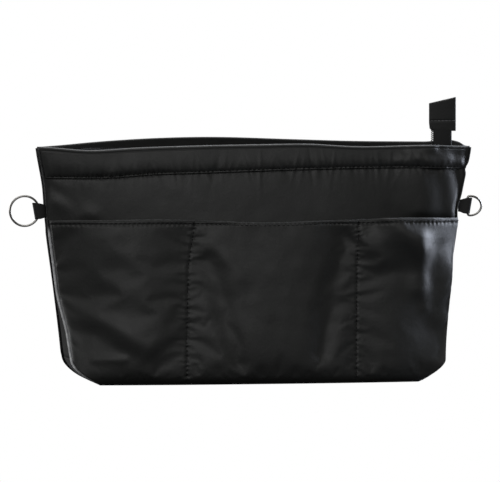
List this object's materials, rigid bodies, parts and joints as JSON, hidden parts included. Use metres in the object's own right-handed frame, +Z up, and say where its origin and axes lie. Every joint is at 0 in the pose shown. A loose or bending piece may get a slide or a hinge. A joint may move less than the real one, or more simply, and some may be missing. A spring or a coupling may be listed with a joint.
{
  "type": "purse organizer insert",
  "caption": "Soft black cloth organizer for inside a handbag: open zip mouth, slip pockets in front, ring loops at both ends.",
  "frame": {"origin": "centre of the flat underside", "axes": "+X along the length towards the zip tail, the pockets face -Y, +Z up"},
  "size_m": [0.3114, 0.0806, 0.183],
  "materials": {
    "nylon": "black silky nylon, fine weave, soft sheen",
    "lining": "black thin lining cloth",
    "tape": "black ribbed zip tape and webbing",
    "board": "dark stiff sheet",
    "coil": "black nylon zip coil",
    "slider_metal": "dark grey lacquered zinc",
    "steel": "polished nickel plated wire"
  },
  "bodies": {
    "bag": {"front_panel": "nylon", "back_panel": "nylon", "left_gusset": "nylon", "right_gusset": "nylon", "base_panel": "nylon", "base_board": "board", "front_lining": "lining", "back_lining": "lining", "left_lining": "lining", "right_lining": "lining", "floor_lining": "lining", "front_rim_band": "nylon", "back_rim_band": "nylon", "front_seam_binding": "nylon", "back_seam_binding": "nylon", "front_pocket_panel": "nylon", "left_loop": "tape", "right_loop": "tape", "front_zip_tape": "tape", "back_zip_tape": "tape", "front_zip_coil": "coil", "back_zip_coil": "coil", "zip_left_stop": "tape"},
    "slider": {"zip_slider": "slider_metal"},
    "pull": {"zip_pull": "slider_metal"},
    "tail": {"zip_tail_neck": "tape", "zip_tail_coil": "coil", "zip_tail_tab": "nylon"},
    "ring": {"left_ring": "steel"},
    "d_ring": {"right_d_ring": "steel"}
  },
  "joints": [
    {"name": "slider_slide", "type": "slide", "parent": "bag", "child": "slider", "axis": [1, 0, 0], "range_m": [-0.195, 0], "deforming": ["front_zip_tape", "back_zip_tape", "front_zip_coil", "back_zip_coil"]},
    {"name": "pull_hinge", "type": "hinge", "parent": "slider", "child": "pull", "pos_m": [0.09145, 0, 0.14335], "axis": [0, 1, 0], "range_deg": [0, 170]},
    {"name": "tail_hinge", "type": "hinge", "parent": "bag", "child": "tail", "pos_m": [0.1242, 0, 0.1565], "axis": [1, 0, 0], "range_deg": [-90, 90], "deforming": ["zip_tail_neck", "zip_tail_coil"]},
    {"name": "left_ring_swing", "type": "hinge", "parent": "bag", "child": "ring", "pos_m": [-0.14076, 0, 0.1105], "axis": [0, 0, 1], "range_deg": [-95, 95], "deforming": ["left_loop"]},
    {"name": "right_d_ring_swing", "type": "hinge", "parent": "bag", "child": "d_ring", "pos_m": [0.14102, 0, 0.1125], "axis": [0, 0, 1], "range_deg": [-95, 95]}
  ]
}
